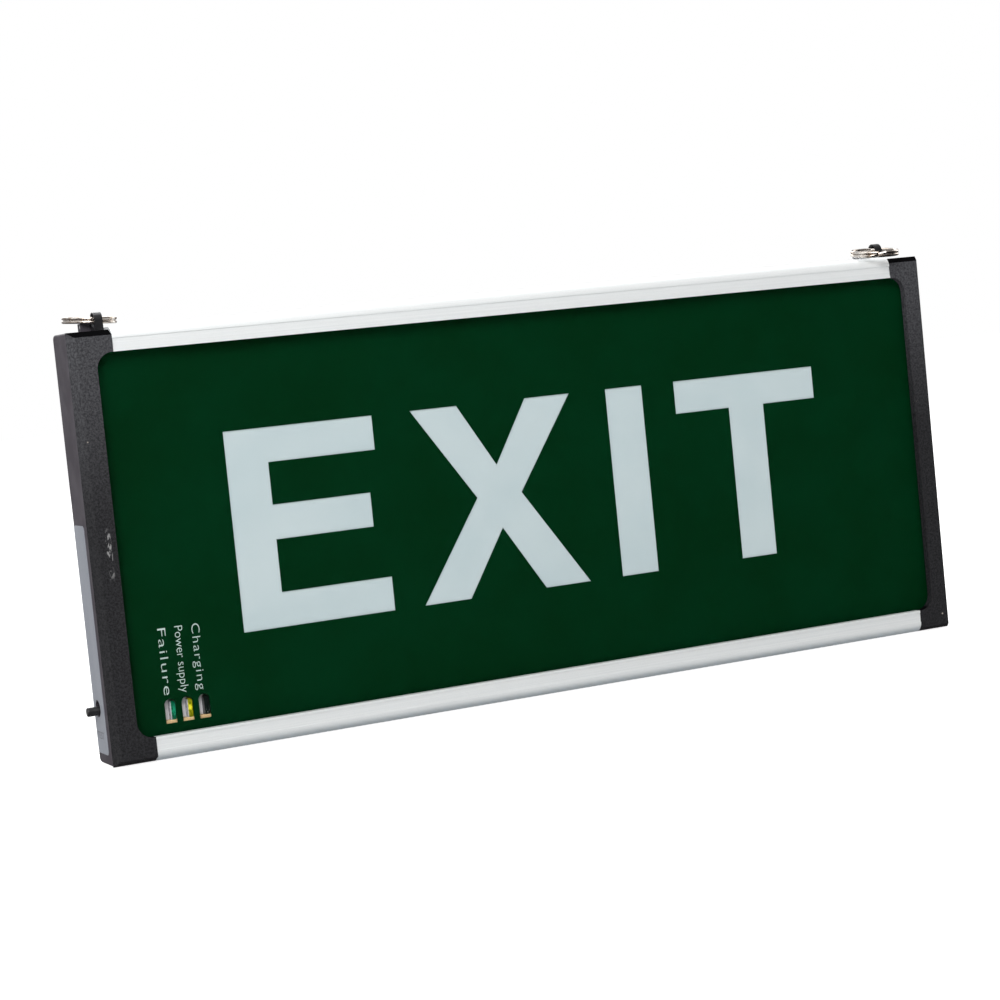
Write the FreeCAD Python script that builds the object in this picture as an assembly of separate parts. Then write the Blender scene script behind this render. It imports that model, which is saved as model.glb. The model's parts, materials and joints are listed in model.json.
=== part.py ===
import FreeCAD, Part
import math
import os

# Slim illuminated exit sign: two aluminium rails between two moulded end caps, an edge-lit
# legend stack behind a clear panel, a battery, a driver and a test switch inside, and two
# moulded eyes with split rings on top.  Millimetres.  X runs along the sign, -Y is the lit
# front, +Z is up.  The origin is the middle of the underside.

V = FreeCAD.Vector

# Casing
WIDTH = 347.6              # over the front mouldings
HEIGHT = 150.0
DEPTH = 21.5
CAP_WIDTH = 15.1           # end cap seen from the front, beside the rails
CAP_WALL = 2.0
BEZEL_DEPTH = 3.8         # front moulding, front to back
BEVEL_WIDTH = 1.9          # bevel round the front moulding's side, top and bottom
CAP_DROP = 0.9             # cap's top below the rail's top
BEZEL_FLOOR = 4.0          # thick top and bottom walls of the front moulding
ARRIS_RADIUS = 1.0         # between the front face and the side bevel
PILOT_SKIN = 1.5           # left in front of each cap screw's pilot hole
SIDE_INSET = 0.25          # smooth side face stands in from the textured band
COVER_RADIUS = 2.0         # back corners of the rear moulding
EDGE_RADIUS = 0.8

# Opening that frames the legend
OPENING_SIDE = 8.9         # cap's width beside the opening
OPENING_EDGE = 8.6         # rail's height above and below the opening
OPENING_RADIUS = 5.8

# Aluminium rails
RAIL_WALL = 1.4
RAIL_ROUND = 4.0           # rounded front shoulder
RAIL_LIP = 1.0
RAIL_RIB = 1.2
RAIL_RIB_DROP = 6.6        # long rib that backs the legend stack
RAIL_GROOVE_DROP = 3.0     # short rib in front of the back plate
RAIL_BEAD = 0.25           # depth of the flat band between the two beads
RAIL_BEAD_EDGE = 0.9

# Legend stack, from the front backwards
PANEL_RECESS = 2.8
PANEL_THICK = 1.5
FILM_THICK = 0.3
DIFFUSER_THICK = 1.2
GUIDE_THICK = 2.5
REFLECTOR_THICK = 0.4
STACK_TUCK = 2.0           # sheets reach this far behind the cap's rim
STACK_PLAY = 0.1

# Letters
LETTER_HEIGHT = 70.8
LETTER_RISE = -0.35        # letters stand this far above mid-height
LETTER_STEM = 15.6
LETTER_BAR = 12.35
WORD_MARGIN = 17.2         # from the last window's centre to the first letter
LETTER_GAP_EX = 11.8
LETTER_GAP_XI = 13.6
LETTER_GAP_IT = 13.8
E_TOP_REACH = 56.3
E_MID_REACH = 52.8
E_FOOT_REACH = 57.8
E_MID_TOP = 27.4           # below the top of the letters
X_TOP_WIDTH = 64.9
X_FOOT_WIDTH = 68.0
X_STROKE = 18.6            # level width of each arm
X_TOP_NOTCH = 23.0         # depth of the notch between the upper arms
X_FOOT_NOTCH = 24.3
X_WAIST = 18.2
X_WAIST_RISE = 36.5        # waist above the foot
T_WIDTH = 62.2

# Indicator windows and lamps
WINDOW_WIDTH = 4.0
WINDOW_HEIGHT = 8.5
WINDOW_FOOT = 11.85
WINDOW_INSET = 22.6        # first window's centre from the sign's left side
WINDOW_PITCH = 6.15
WINDOW_COUNT = 3
LAMP_WIDTH = 1.8
LAMP_HEIGHT = 6.6
LAMP_DEPTH = 2.6
LAMP_OFFSET = 1.1
HOLDER_WIDTH = 2.2
HOLDER_HEIGHT = 6.9
HOLDER_DEPTH = 3.0
NOTCH_WIDTH = 33.0         # cut from the sheets behind the film, for the lamps
NOTCH_HEIGHT = 17.5
LEDGE_THICK = 1.6
LEDGE_RISE = 1.0           # board's top above the foot of the windows
LEDGE_SETBACK = 0.6        # behind the film
LEDGE_REACH = 13.6
LEDGE_INSET = 5.5          # from the sign's left side
LEDGE_LENGTH = 33.5
BRACKET_THICK = 1.0
BRACKET_DEPTH = 6.0
BRACKET_FOOT = 8.0
BRACKET_INSET = 12.0       # from the board's left end
BRACKET_LENGTH = 18.0

# Back plate
PLATE_THICK = 0.8
PLATE_PLAY = 0.1
KEYHOLE_SPACING = 220.0
KEYHOLE_Z = 110.0
KEYHOLE_RADIUS = 4.0
KEYHOLE_SLOT_RADIUS = 2.1
KEYHOLE_SLOT_RISE = 7.0
INLET_Z = 116.0
INLET_RADIUS = 3.5
GROMMET_NECK = 5.2
GROMMET_FLANGE = 7.0
GROMMET_LIP = 1.2

# Edge lighting
LED_BOARD_END = 8.4        # short of the rail's end
LED_BOARD_WIDTH = 4.1
LED_BOARD_THICK = 1.1
LED_PITCH = 10.0
LED_LENGTH = 2.8
LED_WIDTH = 1.4
LED_HEIGHT = 0.7

# Battery
BATTERY_LEFT = -84.0
BATTERY_LENGTH = 50.0
BATTERY_DEPTH = 9.2
BATTERY_HEIGHT = 43.5
BATTERY_FOOT = 44.0
CLIP_THICK = 0.8
CLIP_WIDTH = 12.0
CLIP_TAB = 9.0
FIT_GAP = 0.1

# Driver board
BOARD_LEFT = 26.0
BOARD_LENGTH = 92.0
BOARD_HEIGHT = 50.0
BOARD_FOOT = 42.0
BOARD_THICK = 1.6
BOARD_EDGE = 5.0           # screw centres from the board's edges
STANDOFF_LENGTH = 2.5
STANDOFF_RADIUS = 2.8
TRANSFORMER_LENGTH = 20.0
TRANSFORMER_HEIGHT = 18.0
WINDING_LENGTH = 11.2
WINDING_MARGIN = 1.5       # winding stands out past the core
PART_RISE = 6.0            # tallest parts on the driver board
CAPACITOR_RADIUS = 4.0
CAPACITOR_COUNT = 3
CAPACITOR_PITCH = 10.0
RELAY_LENGTH = 15.0
RELAY_HEIGHT = 10.0
HEADER_LENGTH = 7.0
HEADER_HEIGHT = 5.0
HEADER_RISE = 5.6
HEADER_INSET = 8.0         # from the nearest screw's centre
HEADER_MARGIN = 1.0        # from the board's edge

# Terminal block
TERMINAL_LENGTH = 24.0
TERMINAL_HEIGHT = 16.0
TERMINAL_DEPTH = 8.8
TERMINAL_FOOT = 84.0
TERMINAL_WAYS = 3
TERMINAL_HOLE = 1.8
TERMINAL_SINK = 3.0        # depth of each screw's well
TERMINAL_ENTRY = 4.0       # wire holes in front of the back plate

# Leads
LEAD_RADIUS = 0.9
LEAD_BEND = 3.0

# Test button and its switch
BUTTON_Z = 18.6
BUTTON_Y = 15.5            # behind the front face
BUTTON_RADIUS = 1.6
BUTTON_PROUD = 3.9
BUTTON_HOLE = 2.6
BUTTON_HOLE_LIFT = 0.8
BUTTON_FLANGE = 3.4
BUTTON_FLANGE_THICK = 1.0
BUTTON_TAIL = 1.8
BUTTON_TRAVEL = 1.5
SWITCH_SIDE = 6.0
SWITCH_LENGTH = 5.5
PLUNGER_RADIUS = 1.2
PLUNGER_LENGTH = 3.6
RUNNING_GAP = 0.15
PIN_RADIUS = 0.35
PIN_LENGTH = 2.6

# Side label
LABEL_THICK = 0.12
LABEL_FOOT = 3.6
LABEL_TOP = 83.2
LABEL_FRONT = 8.1         # behind the front face
LABEL_BACK_MARGIN = 0.9
LABEL_RADIUS = 1.6
LABEL_HOLE = 3.0

# Eyes, rings and the screws that hold the eyes
EYE_INSET = 1.55            # eye's middle past the end of the rail
EYE_Y = 11.3              # behind the front face
EYE_THICK = 2.9
EYE_WIDTH = 5.4
EYE_CENTRE = 3.7           # hole above the top of the cap
EYE_HOLE = 1.7
EYE_FLARE = 0.6
EYE_FOOT_LENGTH = 4.0
EYE_FOOT_HEIGHT = 3.0
LUG_LENGTH = 3.4
RING_RADIUS = 8.92         # to the middle of the wire
WIRE_RADIUS = 0.58
COIL_OFFSET = 0.61         # each coil from the ring's mid-plane
COIL_SWEEP = 340.0
RIGHT_RING_TURN = -35.0
RIGHT_RING_TILT = 7.0
LEFT_RING_TILT = 3.0
LEFT_RING_ROLL = 4.0
CROSS_SCREW_RADIUS = 0.8
CROSS_SCREW_CORE = 0.48
CROSS_SCREW_LIFT = 1.85
CROSS_SCREW_REACH = 6.0    # thread that shows past the right eye
CROSS_SCREW_PITCH = 1.6
CROSS_HEAD_RADIUS = 0.95
CROSS_HEAD_THICK = 0.9

# Spigots and other screws
SPIGOT_LENGTH = 10.0
SPIGOT_FRONT = 10.2        # behind the front face
SPIGOT_DEPTH = 7.4
SPIGOT_HEIGHT = 4.0
SPIGOT_PLAY = 0.3
RAIL_SCREW_INSET = 5.0     # from the rail's end
RAIL_SCREW_RADIUS = 1.25
RAIL_SCREW_LENGTH = 5.5
RAIL_SCREW_HEAD = 2.4
CAP_SCREW_RADIUS = 1.1
CAP_SCREW_LENGTH = 18.0
CAP_SCREW_HEAD = 2.0
CAP_SCREW_HEAD_THICK = 1.3
CAP_SCREW_END = 26.0       # above the underside and below the top
POST_RADIUS = 2.1
M3_RADIUS = 1.4
M3_HEAD = 2.5
M3_HEAD_THICK = 1.6
SCREW_PLAY = 0.05

# Planes worked out from the sizes above
FRONT = -DEPTH / 2
BACK = DEPTH / 2
SIDE = WIDTH / 2
CAP_TOP = HEIGHT - CAP_DROP
CAP_INNER = SIDE - CAP_WIDTH
SPLIT = FRONT + BEZEL_DEPTH
OPENING_X = SIDE - OPENING_SIDE
PANEL_FRONT = FRONT + PANEL_RECESS
FILM_FRONT = PANEL_FRONT + PANEL_THICK
DIFFUSER_FRONT = FILM_FRONT + FILM_THICK
GUIDE_FRONT = DIFFUSER_FRONT + DIFFUSER_THICK
REFLECTOR_FRONT = GUIDE_FRONT + GUIDE_THICK
STACK_BACK = REFLECTOR_FRONT + REFLECTOR_THICK
STACK_X = OPENING_X + STACK_TUCK
STACK_FOOT = BEZEL_FLOOR + STACK_PLAY
STACK_TOP = HEIGHT - BEZEL_FLOOR - STACK_PLAY
PLATE_BACK = BACK - RAIL_WALL - PLATE_PLAY
PLATE_FRONT = PLATE_BACK - PLATE_THICK
SIDE_FACE = SIDE - SIDE_INSET
CAVITY_X = SIDE - CAP_WALL
WINDOW_FIRST = -SIDE + WINDOW_INSET
LEDGE_LEFT = -SIDE + LEDGE_INSET
LEDGE_RIGHT = LEDGE_LEFT + LEDGE_LENGTH
LEDGE_TOP = WINDOW_FOOT + LEDGE_RISE
LEDGE_FRONT = DIFFUSER_FRONT + LEDGE_SETBACK
BOARD_FRONT = PLATE_FRONT - STANDOFF_LENGTH - BOARD_THICK
BOARD_BOSS = PLATE_FRONT - STANDOFF_LENGTH
POST_X = CAVITY_X - POST_RADIUS + FIT_GAP
EYE_X = CAP_INNER + EYE_INSET
EYE_AXIS_Y = FRONT + EYE_Y
EYE_AXIS_Z = CAP_TOP + EYE_CENTRE
FOOT_BACK = EYE_AXIS_Y + EYE_WIDTH / 2 + EYE_FOOT_LENGTH
CROSS_Y = EYE_AXIS_Y + EYE_WIDTH / 2 + EYE_FOOT_LENGTH / 2
CROSS_Z = CAP_TOP + CROSS_SCREW_LIFT
LUG_INNER = EYE_X + EYE_THICK / 2 + FIT_GAP
LUG_OUTER = LUG_INNER + LUG_LENGTH


def box(x0, x1, y0, y1, z0, z1):
    return Part.makeBox(x1 - x0, y1 - y0, z1 - z0, V(x0, y0, z0))


def rod(radius, start, end):
    """Solid cylinder between two points."""
    along = end - start
    return Part.makeCylinder(radius, along.Length, start, along)


def prism_x(points, x0, x1):
    """Solid with a straight-sided Y, Z outline, from x0 to x1."""
    outline = Part.makePolygon([V(x0, y, z) for y, z in points + points[:1]])
    return Part.Face(outline).extrude(V(x1 - x0, 0, 0))


def prism_y(points, y0, y1):
    """Solid with a straight-sided X, Z outline, from y0 to y1."""
    outline = Part.makePolygon([V(x, y0, z) for x, z in points + points[:1]])
    return Part.Face(outline).extrude(V(0, y1 - y0, 0))


def prism_z(points, z0, z1):
    """Solid with a straight-sided X, Y outline, from z0 to z1."""
    outline = Part.makePolygon([V(x, y, z0) for x, y in points + points[:1]])
    return Part.Face(outline).extrude(V(0, 0, z1 - z0))


def edges_along(shape, axis, test):
    """Straight edges of a shape that run along an axis and whose middle passes a test."""
    found = []
    for edge in shape.Edges:
        if len(edge.Vertexes) != 2:
            continue
        run = edge.Vertexes[1].Point - edge.Vertexes[0].Point
        if abs(abs(run.dot(axis)) - run.Length) < 1e-6 and test(edge.CenterOfMass):
            found.append(edge)
    return found


def rounded_x(x0, x1, z0, z1, radius, y0, y1):
    """Box through Y whose four corners in X, Z are rounded."""
    solid = box(x0, x1, y0, y1, z0, z1)
    return solid.makeFillet(radius, edges_along(solid, V(0, 1, 0), lambda c: True))


def mirror_x(shape):
    return shape.mirror(V(0, 0, 0), V(1, 0, 0))


def mirror_z(shape):
    return shape.mirror(V(0, 0, HEIGHT / 2), V(0, 0, 1))


def pan_screw(radius, length, head_radius, head_thick):
    """Screw along +Z with the underside of its head at z = 0 and its point at z = length."""
    head = Part.makeCylinder(head_radius, head_thick, V(0, 0, -head_thick))
    crown = [e for e in head.Edges if len(e.Vertexes) == 1 and e.CenterOfMass.z < -head_thick / 2]
    head = head.makeFillet(head_thick * 0.45, crown)
    slot = box(-head_radius, head_radius, -0.25, 0.25, -head_thick - 1, -head_thick * 0.5)
    taper = radius * 0.5
    shank = Part.makeCylinder(radius, length - taper, V(0, 0, 0))
    point = Part.makeCone(radius, radius * 0.4, taper, V(0, 0, length - taper))
    return head.cut(slot).fuse([shank, point]).removeSplitter()


def flat_screw(radius, length, head_radius):
    """Countersunk screw along +Z with the top of its head at z = 0."""
    drop = head_radius - radius
    head = Part.makeCone(head_radius, radius, drop)
    slot = box(-head_radius, head_radius, -0.25, 0.25, -1, drop * 0.45)
    taper = radius * 0.5
    shank = Part.makeCylinder(radius, length - drop - taper, V(0, 0, drop))
    point = Part.makeCone(radius, radius * 0.4, taper, V(0, 0, length - taper))
    return head.fuse([shank, point]).cut(slot).removeSplitter()


def place(shape, position, direction):
    """Copy of a shape made along +Z, turned to a direction and moved to a position."""
    moved = shape.copy()
    moved.Placement = FreeCAD.Placement(position, FreeCAD.Rotation(V(0, 0, 1), direction))
    return moved


def group(solids):
    return Part.makeCompound(solids)


# ---------------------------------------------------------------- casing

def front_moulding():
    """Right end cap's front half: a shallow bezel, bevelled round its side, top and bottom."""
    profile = [(FRONT, BEVEL_WIDTH), (SPLIT, 0), (SPLIT, CAP_TOP), (FRONT, CAP_TOP - BEVEL_WIDTH)]
    plan = [(CAP_INNER, FRONT), (SIDE - BEVEL_WIDTH, FRONT), (SIDE, SPLIT), (CAP_INNER, SPLIT)]
    body = prism_x(profile, CAP_INNER, SIDE).common(prism_z(plan, 0, CAP_TOP))
    arris = [e for e in body.Edges if abs(e.CenterOfMass.x - SIDE + BEVEL_WIDTH) < 1e-6
             and abs(e.CenterOfMass.y - FRONT) < 1e-6]
    body = body.makeFillet(ARRIS_RADIUS, arris)
    opening = rounded_x(-OPENING_X, OPENING_X, OPENING_EDGE, HEIGHT - OPENING_EDGE,
                        OPENING_RADIUS, FRONT - 1, PANEL_FRONT)
    cavity = box(CAP_INNER - 1, CAVITY_X, PANEL_FRONT, SPLIT + 1, BEZEL_FLOOR, HEIGHT - BEZEL_FLOOR)
    body = body.cut([opening, cavity])
    for z in (CAP_SCREW_END, HEIGHT - CAP_SCREW_END):
        post = rod(POST_RADIUS, V(POST_X, PANEL_FRONT - FIT_GAP, z), V(POST_X, SPLIT, z))
        pilot = rod(CAP_SCREW_RADIUS + SCREW_PLAY, V(POST_X, FRONT + PILOT_SKIN, z), V(POST_X, SPLIT + 1, z))
        body = body.fuse(post).cut(pilot)
    return body.removeSplitter()


def rear_moulding():
    """Right end cap's rear half: smooth side face, back wall, spigots for the rails, eye lug."""
    body = box(CAP_INNER, SIDE_FACE, SPLIT, BACK, 0, CAP_TOP)
    corners = edges_along(body, V(1, 0, 0), lambda c: c.y > BACK - 1e-6)
    body = body.makeFillet(COVER_RADIUS, corners)
    upright = [e for e in body.Edges if abs(e.CenterOfMass.x - SIDE_FACE) < 1e-6
               and abs(e.CenterOfMass.y - BACK) < 1e-6]
    body = body.makeFillet(EDGE_RADIUS, upright)
    body = body.cut(box(CAP_INNER - 1, CAVITY_X, SPLIT - 1, BACK - CAP_WALL, CAP_WALL, CAP_TOP - CAP_WALL))
    lug = box(LUG_INNER, LUG_OUTER, CROSS_Y - EYE_FOOT_LENGTH / 2, FOOT_BACK,
              CAP_TOP - CAP_WALL / 2, CAP_TOP + EYE_FOOT_HEIGHT)
    body = body.fuse([lug, spigot(), mirror_z(spigot())])
    for z in (CAP_SCREW_END, HEIGHT - CAP_SCREW_END):
        tube = rod(POST_RADIUS, V(POST_X, SPLIT, z), V(POST_X, BACK - CAP_WALL / 2, z))
        seat = rod(CAP_SCREW_HEAD + FIT_GAP, V(POST_X, cap_screw_seat(), z), V(POST_X, BACK + 1, z))
        hole = rod(CAP_SCREW_RADIUS + SCREW_PLAY, V(POST_X, SPLIT - 1, z), V(POST_X, BACK + 1, z))
        body = body.fuse(tube).cut([seat, hole])
    hole = rod(CROSS_SCREW_RADIUS + SCREW_PLAY,
               V(LUG_INNER - 1, CROSS_Y, CROSS_Z), V(LUG_OUTER + 1, CROSS_Y, CROSS_Z))
    return body.cut(hole).removeSplitter()


def cap_screw_seat():
    return BACK - CAP_SCREW_HEAD_THICK - FIT_GAP


def spigot():
    """Tongue on the right rear moulding that carries the end of the top rail."""
    y0, y1 = FRONT + SPIGOT_FRONT, FRONT + SPIGOT_FRONT + SPIGOT_DEPTH
    top = HEIGHT - RAIL_WALL - SPIGOT_PLAY
    foot = top - SPIGOT_HEIGHT
    tongue = box(CAP_INNER - SPIGOT_LENGTH, CAP_INNER + CAP_WALL, y0, y1, foot, top)
    root = box(CAP_INNER, CAP_INNER + CAP_WALL, y0, y1, foot, HEIGHT - CAP_WALL / 2)
    x, y = rail_screw_x(), rail_screw_y()
    pilot = rod(RAIL_SCREW_RADIUS + SCREW_PLAY, V(x, y, foot - 1), V(x, y, top + 1))
    return tongue.fuse(root).cut(pilot)


def rail_screw_x():
    return CAP_INNER - RAIL_SCREW_INSET


def rail_screw_y():
    return FRONT + SPIGOT_FRONT + SPIGOT_DEPTH / 2


def plain_rail():
    """Top rail: a channel with a rounded front shoulder, a lip, and two ribs inside."""
    z_low = HEIGHT - OPENING_EDGE
    outer = box(-CAP_INNER, CAP_INNER, FRONT, BACK, z_low, HEIGHT)
    shoulder = edges_along(outer, V(1, 0, 0), lambda c: c.y < FRONT + 1e-6 and c.z > HEIGHT - 1e-6)
    outer = outer.makeFillet(RAIL_ROUND, shoulder)
    heel = edges_along(outer, V(1, 0, 0), lambda c: c.y > BACK - 1e-6 and c.z > HEIGHT - 1e-6)
    outer = outer.makeFillet(EDGE_RADIUS, heel)
    inner = box(-CAP_INNER - 1, CAP_INNER + 1, FRONT + RAIL_WALL, BACK - RAIL_WALL,
                z_low - 1, HEIGHT - RAIL_WALL)
    shoulder = edges_along(inner, V(1, 0, 0), lambda c: c.y < FRONT + RAIL_WALL + 1e-6 and c.z > z_low)
    inner = inner.makeFillet(RAIL_ROUND - RAIL_WALL, shoulder)
    lip = box(-CAP_INNER, CAP_INNER, FRONT + RAIL_WALL / 2, PANEL_FRONT, z_low, z_low + RAIL_LIP)
    under = HEIGHT - RAIL_WALL / 2
    rib = box(-CAP_INNER, CAP_INNER, STACK_BACK, STACK_BACK + RAIL_RIB, HEIGHT - RAIL_RIB_DROP, under)
    keep = box(-CAP_INNER, CAP_INNER, PLATE_FRONT - PLATE_PLAY - RAIL_RIB, PLATE_FRONT - PLATE_PLAY,
               HEIGHT - RAIL_WALL - RAIL_GROOVE_DROP, under)
    band = box(-CAP_INNER - 1, CAP_INNER + 1, FRONT - 1, FRONT + RAIL_BEAD,
               z_low + RAIL_BEAD_EDGE, HEIGHT - RAIL_ROUND)
    rail = outer.cut(inner).fuse([lip, rib, keep]).cut(band).removeSplitter()
    screws = []
    y = rail_screw_y()
    drop = RAIL_SCREW_HEAD - RAIL_SCREW_RADIUS
    hole_radius = RAIL_SCREW_RADIUS + SCREW_PLAY
    for x in (-rail_screw_x(), rail_screw_x()):
        sink = Part.makeCone(hole_radius, hole_radius + drop, drop, V(x, y, HEIGHT - drop))
        screws += [sink, rod(hole_radius, V(x, y, z_low), V(x, y, HEIGHT))]
    return rail.cut(screws)


def top_rail():
    """Top rail with the hole that lets the lamp lead through its long rib."""
    pass_hole = box(led_lead_x() - 2 * LEAD_RADIUS, led_lead_x() + 2 * LEAD_RADIUS,
                    STACK_BACK - 1, STACK_BACK + RAIL_RIB + 1, STACK_TOP, HEIGHT - RAIL_WALL)
    return plain_rail().cut(pass_hole)


def bottom_rail():
    return mirror_z(plain_rail())


def left_rear_moulding():
    """Left rear moulding, with the hole for the test button."""
    z = BUTTON_Z + BUTTON_HOLE_LIFT
    hole = rod(BUTTON_HOLE, V(-SIDE - 1, button_y(), z), V(-CAVITY_X + 1, button_y(), z))
    return mirror_x(rear_moulding()).cut(hole)


def side_label():
    """Thin label on the left side face, holed for the test button."""
    x0 = -SIDE_FACE - LABEL_THICK
    label = box(x0, -SIDE_FACE, FRONT + LABEL_FRONT, BACK - LABEL_BACK_MARGIN, LABEL_FOOT, LABEL_TOP)
    label = label.makeFillet(LABEL_RADIUS, edges_along(label, V(1, 0, 0), lambda c: True))
    z = BUTTON_Z + BUTTON_HOLE_LIFT
    return label.cut(rod(LABEL_HOLE, V(x0 - 1, button_y(), z), V(-SIDE_FACE + 1, button_y(), z)))


# ---------------------------------------------------------------- legend stack

def sheet(y0, thick, notched):
    """One full-size sheet of the legend stack, with the lamp notch if asked for."""
    solid = box(-STACK_X, STACK_X, y0, y0 + thick, STACK_FOOT, STACK_TOP)
    if notched:
        x1 = -STACK_X + NOTCH_WIDTH
        z1 = STACK_FOOT + NOTCH_HEIGHT + LEDGE_THICK
        solid = solid.cut(box(-STACK_X - 1, x1, y0 - 1, y0 + thick + 1, STACK_FOOT - 1, z1))
    return solid


def letter_top():
    return HEIGHT / 2 + LETTER_RISE + LETTER_HEIGHT / 2


def letter_foot():
    return letter_top() - LETTER_HEIGHT


def letter_outlines():
    """X, Z outlines of the four letters."""
    top, foot, bar = letter_top(), letter_foot(), LETTER_BAR
    e0 = window_x(WINDOW_COUNT - 1) + WORD_MARGIN
    e1 = e0 + LETTER_STEM
    mid = top - E_MID_TOP
    letter_e = [(e0, top), (e0 + E_TOP_REACH, top), (e0 + E_TOP_REACH, top - bar), (e1, top - bar),
                (e1, mid), (e0 + E_MID_REACH, mid), (e0 + E_MID_REACH, mid - bar), (e1, mid - bar),
                (e1, foot + bar), (e0 + E_FOOT_REACH, foot + bar), (e0 + E_FOOT_REACH, foot), (e0, foot)]
    left = e0 + E_FOOT_REACH + LETTER_GAP_EX
    right = left + X_FOOT_WIDTH
    centre = (left + right) / 2
    half, waist = X_TOP_WIDTH / 2, X_WAIST / 2
    letter_x = [(centre - half, top), (centre - half + X_STROKE, top), (centre, top - X_TOP_NOTCH),
                (centre + half - X_STROKE, top), (centre + half, top),
                (centre + waist, foot + X_WAIST_RISE), (right, foot), (right - X_STROKE, foot),
                (centre, foot + X_FOOT_NOTCH), (left + X_STROKE, foot), (left, foot),
                (centre - waist, foot + X_WAIST_RISE)]
    i0 = right + LETTER_GAP_XI
    i1 = i0 + LETTER_STEM
    letter_i = [(i0, top), (i1, top), (i1, foot), (i0, foot)]
    t0, t1 = i1 + LETTER_GAP_IT, i1 + LETTER_GAP_IT + T_WIDTH
    s0 = (t0 + t1 - LETTER_STEM) / 2
    s1 = s0 + LETTER_STEM
    letter_t = [(t0, top), (t1, top), (t1, top - bar), (s1, top - bar), (s1, foot), (s0, foot),
                (s0, top - bar), (t0, top - bar)]
    return [letter_e, letter_x, letter_i, letter_t]


def window_x(index):
    return WINDOW_FIRST + index * WINDOW_PITCH


def legend_film():
    """Opaque film with openings in the shape of the letters and three arched windows."""
    y0, y1 = FILM_FRONT - 1, DIFFUSER_FRONT + 1
    cuts = [prism_y(points, y0, y1) for points in letter_outlines()]
    half = WINDOW_WIDTH / 2
    for index in range(WINDOW_COUNT):
        x = window_x(index)
        spring = WINDOW_FOOT + WINDOW_HEIGHT - half
        cuts.append(box(x - half, x + half, y0, y1, WINDOW_FOOT, spring))
        cuts.append(rod(half, V(x, y0, spring), V(x, y1, spring)))
    return sheet(FILM_FRONT, FILM_THICK, False).cut(cuts)


# ---------------------------------------------------------------- back plate

def keyhole(x):
    """Round entry with a narrower slot above it, cut through the back plate."""
    y0, y1 = PLATE_FRONT - 1, PLATE_BACK + 1
    top = KEYHOLE_Z + KEYHOLE_SLOT_RISE
    entry = rod(KEYHOLE_RADIUS, V(x, y0, KEYHOLE_Z), V(x, y1, KEYHOLE_Z))
    slot = box(x - KEYHOLE_SLOT_RADIUS, x + KEYHOLE_SLOT_RADIUS, y0, y1, KEYHOLE_Z, top)
    end = rod(KEYHOLE_SLOT_RADIUS, V(x, y0, top), V(x, y1, top))
    return entry.fuse([slot, end])


def back_plate():
    reach = RAIL_WALL + FIT_GAP
    plate = box(-CAP_INNER, CAP_INNER, PLATE_FRONT, PLATE_BACK, reach, HEIGHT - reach)
    neck = rod(GROMMET_NECK, V(0, PLATE_FRONT - 1, INLET_Z), V(0, PLATE_BACK + 1, INLET_Z))
    taps = [rod(M3_RADIUS + SCREW_PLAY, V(x, PLATE_FRONT - 1, z), V(x, PLATE_BACK + 1, z))
            for x, z in clip_screw_places()]
    return plate.cut([keyhole(-KEYHOLE_SPACING / 2), keyhole(KEYHOLE_SPACING / 2), neck] + taps)


def cable_grommet():
    y0, y1 = PLATE_FRONT - GROMMET_LIP, PLATE_BACK + GROMMET_LIP
    flanges = [rod(GROMMET_FLANGE, V(0, y0, INLET_Z), V(0, PLATE_FRONT, INLET_Z)),
               rod(GROMMET_FLANGE, V(0, PLATE_BACK, INLET_Z), V(0, y1, INLET_Z))]
    neck = rod(GROMMET_NECK, V(0, y0, INLET_Z), V(0, y1, INLET_Z))
    bore = rod(INLET_RADIUS, V(0, y0 - 1, INLET_Z), V(0, y1 + 1, INLET_Z))
    return neck.fuse(flanges).cut(bore).removeSplitter()


# ---------------------------------------------------------------- lighting

def led_board_half():
    return CAP_INNER - LED_BOARD_END


def led_board():
    middle = GUIDE_FRONT + GUIDE_THICK / 2
    y1 = min(middle + LED_BOARD_WIDTH / 2, STACK_BACK - FIT_GAP)
    top = HEIGHT - RAIL_WALL
    half = led_board_half()
    return box(-half, half, y1 - LED_BOARD_WIDTH, y1, top - LED_BOARD_THICK, top)


def led_chips():
    """Row of lamps under the board, aimed down into the edge of the light guide."""
    middle = GUIDE_FRONT + GUIDE_THICK / 2
    top = HEIGHT - RAIL_WALL - LED_BOARD_THICK
    count = int(2 * led_board_half() / LED_PITCH)
    chips = []
    for index in range(count):
        x = (index - (count - 1) / 2) * LED_PITCH
        chips.append(box(x - LED_LENGTH / 2, x + LED_LENGTH / 2,
                         middle - LED_WIDTH / 2, middle + LED_WIDTH / 2, top - LED_HEIGHT, top))
    return group(chips)


def indicator_lamp(index):
    """Round-topped lamp that looks out of one window."""
    x = window_x(index) + LAMP_OFFSET
    half = LAMP_WIDTH / 2
    y0, y1 = LEDGE_FRONT, LEDGE_FRONT + LAMP_DEPTH
    top = LEDGE_TOP + LAMP_HEIGHT
    body = box(x - half, x + half, y0, y1, LEDGE_TOP, top - half)
    crown = rod(half, V(x, y0, top - half), V(x, y1, top - half))
    return body.fuse(crown).removeSplitter()


def lamp_holders():
    """White block behind each lamp."""
    blocks = []
    y0 = LEDGE_FRONT + LAMP_DEPTH
    half = HOLDER_WIDTH / 2
    for index in range(WINDOW_COUNT):
        x = window_x(index)
        block = box(x - half, x + half, y0, y0 + HOLDER_DEPTH, LEDGE_TOP, LEDGE_TOP + HOLDER_HEIGHT)
        upper = edges_along(block, V(0, 1, 0), lambda c: c.z > LEDGE_TOP + 1)
        blocks.append(block.makeFillet(HOLDER_WIDTH * 0.2, upper))
    return group(blocks)


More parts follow.
